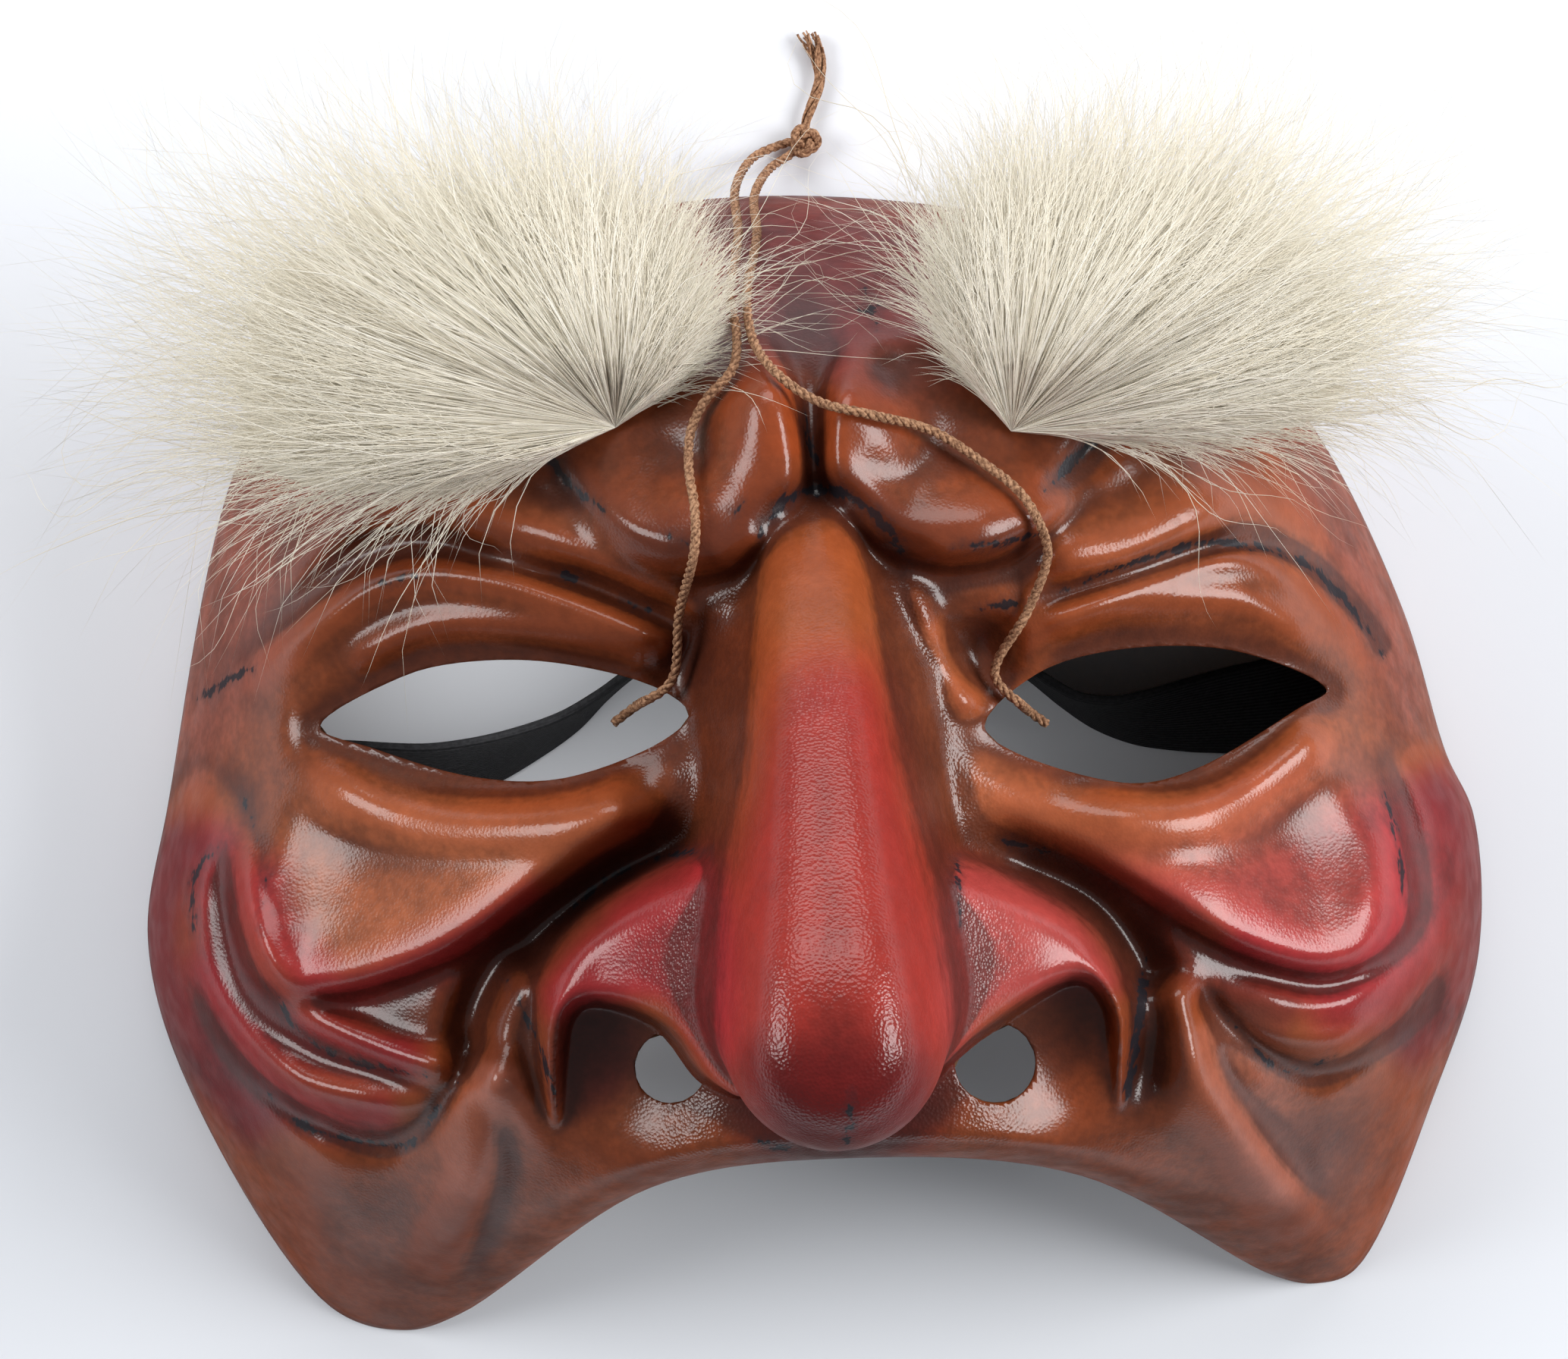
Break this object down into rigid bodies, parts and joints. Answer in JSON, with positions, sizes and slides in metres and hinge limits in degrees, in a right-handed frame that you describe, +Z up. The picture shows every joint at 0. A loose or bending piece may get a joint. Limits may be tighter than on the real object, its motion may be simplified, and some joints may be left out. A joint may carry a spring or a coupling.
{
  "type": "theatre half mask",
  "caption": "Moulded leather half mask with a long drooping nose, eye holes, fur brows, a hanging cord and an elastic head strap, lying face up.",
  "frame": {"origin": "on the table under the middle of the mask as it lies face up, its cord left out", "axes": "+X across the face to the right as seen from above, +Y from the lip to the forehead, +Z up through the nose"},
  "size_m": [0.173, 0.153, 0.1108],
  "materials": {
    "leather": "orange brown leather stained red and burgundy, waxed to a satin gloss, with black paint in its creases",
    "fur": "long cream fur",
    "elastic": "matte black woven elastic",
    "cord": "twisted brown string"
  },
  "bodies": {
    "root": {"mask_shell": "leather", "brow_fur_left": "fur", "brow_fur_right": "fur", "elastic_strap": "elastic", "hanging_cord_left": "cord", "hanging_cord_right": "cord", "cord_knot": "cord"}
  },
  "joints": []
}
